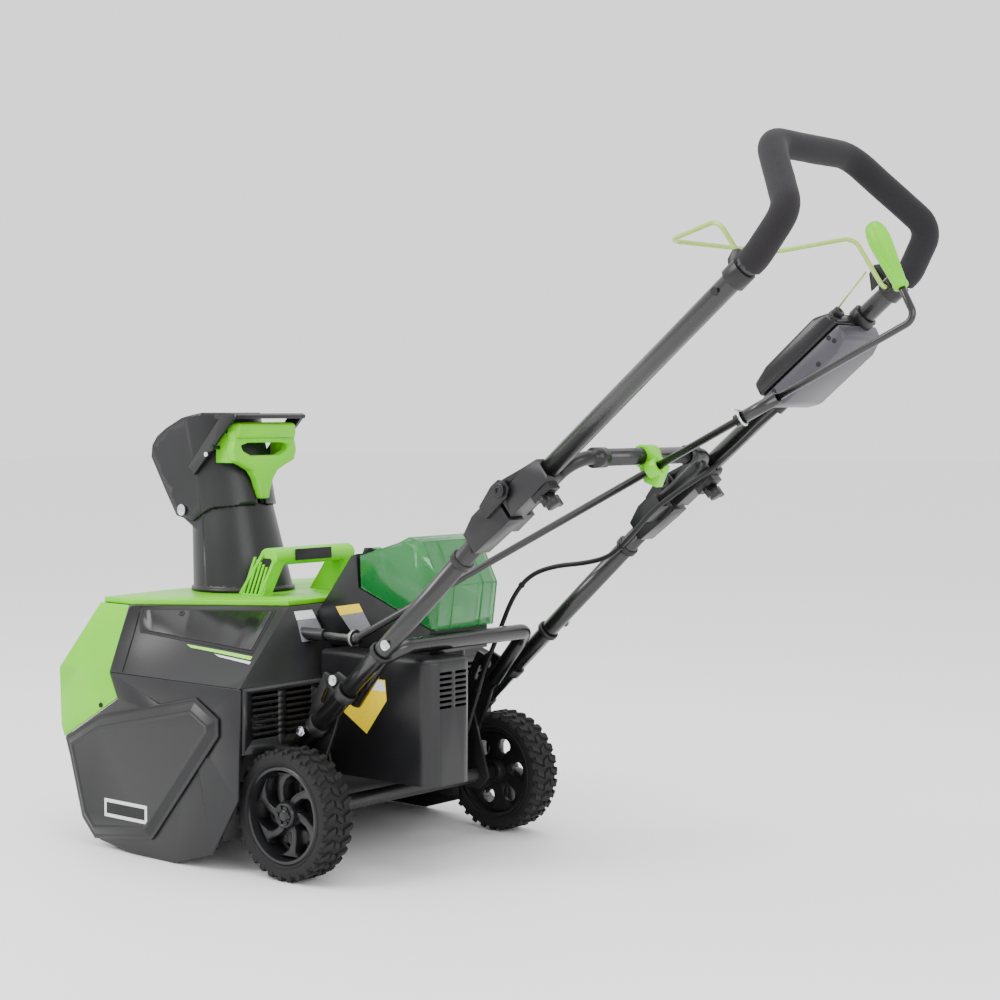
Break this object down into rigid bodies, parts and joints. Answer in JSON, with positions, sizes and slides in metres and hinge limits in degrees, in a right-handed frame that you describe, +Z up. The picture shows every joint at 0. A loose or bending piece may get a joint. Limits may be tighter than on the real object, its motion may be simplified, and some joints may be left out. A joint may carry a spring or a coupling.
{
  "type": "snow thrower",
  "caption": "Walk-behind cordless snow thrower with an auger drum, swivelling chute and tilting hood, folding tube handle, crank rod and battery under a tinted lid.",
  "frame": {"origin": "on the ground at the middle of the overall length and width", "axes": "+Z up, +X to the machine's left as seen from behind the handle, -Y forward towards the auger"},
  "size_m": [0.546, 1.2424, 0.9615],
  "materials": {
    "tyre_rubber": "black tread rubber, matt",
    "rim_plastic": "charcoal moulded plastic",
    "shell_black": "charcoal moulded plastic with a light grain",
    "shell_lime": "lime green moulded plastic, semi gloss",
    "steel_black": "black powder coat on sheet steel",
    "tube_black": "satin black enamel on steel tube",
    "grip_foam": "charcoal closed-cell foam",
    "bail_enamel": "pale yellow-green enamel on wire",
    "lid_tint": "emerald tinted clear plastic",
    "paddle_rubber": "black reinforced rubber",
    "zinc_steel": "bright zinc plate",
    "bare_steel": "machined steel",
    "heat_sink": "extruded aluminium",
    "cable_jacket": "black cable jacket",
    "box_grey": "mid grey moulded plastic",
    "lamp_lens": "clear lens plastic"
  },
  "bodies": {
    "machine": {"axle": "steel_black", "frame_hoop": "tube_black", "lower_tubes": "tube_black", "leg_plates": "steel_black", "frame_bolts": "zinc_steel", "side_plates": "shell_black", "drive_covers": "shell_black", "lamp_lenses": "lamp_lens", "front_fascia": "shell_lime", "upper_body": "shell_black", "top_deck": "shell_lime", "auger_drum": "shell_black", "belly_pan": "shell_black", "scraper_bar": "shell_black", "rear_wall": "shell_black", "rear_body": "shell_black", "motor_cover": "shell_black", "controller": "heat_sink", "battery_bay": "shell_black", "motor_stator": "bare_steel", "drive_belt": "paddle_rubber", "auger_bearings": "bare_steel", "carry_handle": "shell_lime", "knuckle_bases": "shell_black", "crossbar": "tube_black", "crossbar_elbows": "shell_black", "crank_guide": "shell_lime", "lower_cable": "cable_jacket"},
    "wheel_left": {"tyre_left": "tyre_rubber", "rim_left": "rim_plastic"},
    "wheel_right": {"tyre_right": "tyre_rubber", "rim_right": "rim_plastic"},
    "auger": {"auger_shaft": "bare_steel", "auger_paddles": "paddle_rubber"},
    "motor": {"motor_rotor": "bare_steel"},
    "chute_turret": {"chute": "shell_black", "hood_bolts": "zinc_steel"},
    "hood": {"deflector": "shell_black", "deflector_bracket": "shell_black"},
    "hood_trigger": {"deflector_grip": "shell_lime"},
    "worm": {"worm_shaft": "bare_steel"},
    "crank": {"crank_rod_lower": "tube_black", "crank_rod_upper": "tube_black", "hairpin_clip": "zinc_steel"},
    "crank_knob": {"crank_grip": "shell_lime"},
    "lid": {"battery_lid": "lid_tint"},
    "battery": {"battery_pack": "shell_black"},
    "latch": {"battery_latch": "shell_lime"},
    "handle": {"upper_handle": "tube_black", "foam_grip": "grip_foam", "knuckle_arms": "shell_black", "bail_brackets": "shell_black", "control_cover": "shell_black", "control_base": "box_grey", "handle_cable": "cable_jacket", "bail_cable": "bail_enamel"},
    "bail_lever": {"bail": "bail_enamel"},
    "button": {"start_button": "shell_lime"},
    "knob_left": {"wing_knob_left": "shell_black"},
    "knob_right": {"wing_knob_right": "shell_black"}
  },
  "joints": [
    {"name": "wheel_left_spin", "type": "hinge", "parent": "machine", "child": "wheel_left", "pos_m": [0.216, -0.1632, 0.089], "axis": [1, 0, 0], "continuous": true},
    {"name": "wheel_right_spin", "type": "hinge", "parent": "machine", "child": "wheel_right", "pos_m": [-0.216, -0.1632, 0.089], "axis": [1, 0, 0], "continuous": true},
    {"name": "auger_spin", "type": "hinge", "parent": "machine", "child": "auger", "pos_m": [0, -0.4932, 0.128], "axis": [1, 0, 0], "continuous": true},
    {"name": "motor_spin", "type": "hinge", "parent": "machine", "child": "motor", "pos_m": [0.2, -0.3132, 0.19], "axis": [1, 0, 0], "continuous": true},
    {"name": "chute_rotate", "type": "hinge", "parent": "machine", "child": "chute_turret", "pos_m": [0.015, -0.4832, 0.36], "axis": [0, 0, 1], "range_deg": [-90, 90]},
    {"name": "hood_tilt", "type": "hinge", "parent": "chute_turret", "child": "hood", "pos_m": [0.015, -0.5452, 0.481], "axis": [1, 0, 0], "range_deg": [0, 35]},
    {"name": "hood_trigger_pull", "type": "hinge", "parent": "hood", "child": "hood_trigger", "pos_m": [0.015, -0.4712, 0.576], "axis": [1, 0, 0], "range_deg": [0, 5], "stiffness_Nm_per_rad": 2, "springref_deg": -5.73},
    {"name": "worm_turn", "type": "hinge", "parent": "machine", "child": "worm", "pos_m": [0.097, -0.1632, 0.315], "axis": [0, 1, 0], "range_deg": [-815, 815]},
    {"name": "crank_turn", "type": "hinge", "parent": "machine", "child": "crank", "pos_m": [0.097, -0.1632, 0.315], "axis": [-0.1582, 0.8683, 0.4701], "range_deg": [-815, 815]},
    {"name": "crank_knob_spin", "type": "hinge", "parent": "crank", "child": "crank_knob", "pos_m": [-0.04852, 0.60123, 0.77653], "axis": [-0.06, -0.4899, 0.8697], "continuous": true},
    {"name": "lid_open", "type": "hinge", "parent": "machine", "child": "lid", "pos_m": [0, -0.1942, 0.433], "axis": [1, 0, 0], "range_deg": [0, 75]},
    {"name": "battery_lift", "type": "slide", "parent": "machine", "child": "battery", "axis": [0, 0.3519, 0.936], "range_m": [0, 0.025]},
    {"name": "latch_press", "type": "slide", "parent": "battery", "child": "latch", "axis": [0, -0.936, 0.3519], "range_m": [0, 0.003], "stiffness_N_per_m": 800, "springref_m": -0.002},
    {"name": "handle_fold", "type": "hinge", "parent": "machine", "child": "handle", "pos_m": [0, 0.1808, 0.533], "axis": [1, 0, 0], "range_deg": [0, 110]},
    {"name": "bail_squeeze", "type": "hinge", "parent": "handle", "child": "bail_lever", "pos_m": [0, 0.5188, 0.786], "axis": [1, 0, 0], "range_deg": [-55, 0], "stiffness_Nm_per_rad": 1, "springref_deg": 17.19},
    {"name": "button_press", "type": "slide", "parent": "handle", "child": "button", "axis": [0, 0.6341, -0.7733], "range_m": [0, 0.004], "stiffness_N_per_m": 600, "springref_m": -0.002},
    {"name": "knob_left_turn", "type": "hinge", "parent": "handle", "child": "knob_left", "pos_m": [0.175, 0.24302, 0.52651], "axis": [0, -0.6341, 0.7733], "continuous": true},
    {"name": "knob_right_turn", "type": "hinge", "parent": "handle", "child": "knob_right", "pos_m": [-0.175, 0.24302, 0.52651], "axis": [0, -0.6341, 0.7733], "continuous": true}
  ],
  "couplings": [
    {"joint": "motor_spin", "follows": "auger_spin", "ratio": 3.3333},
    {"joint": "worm_turn", "follows": "chute_rotate", "ratio": 9},
    {"joint": "crank_turn", "follows": "chute_rotate", "ratio": 9}
  ]
}
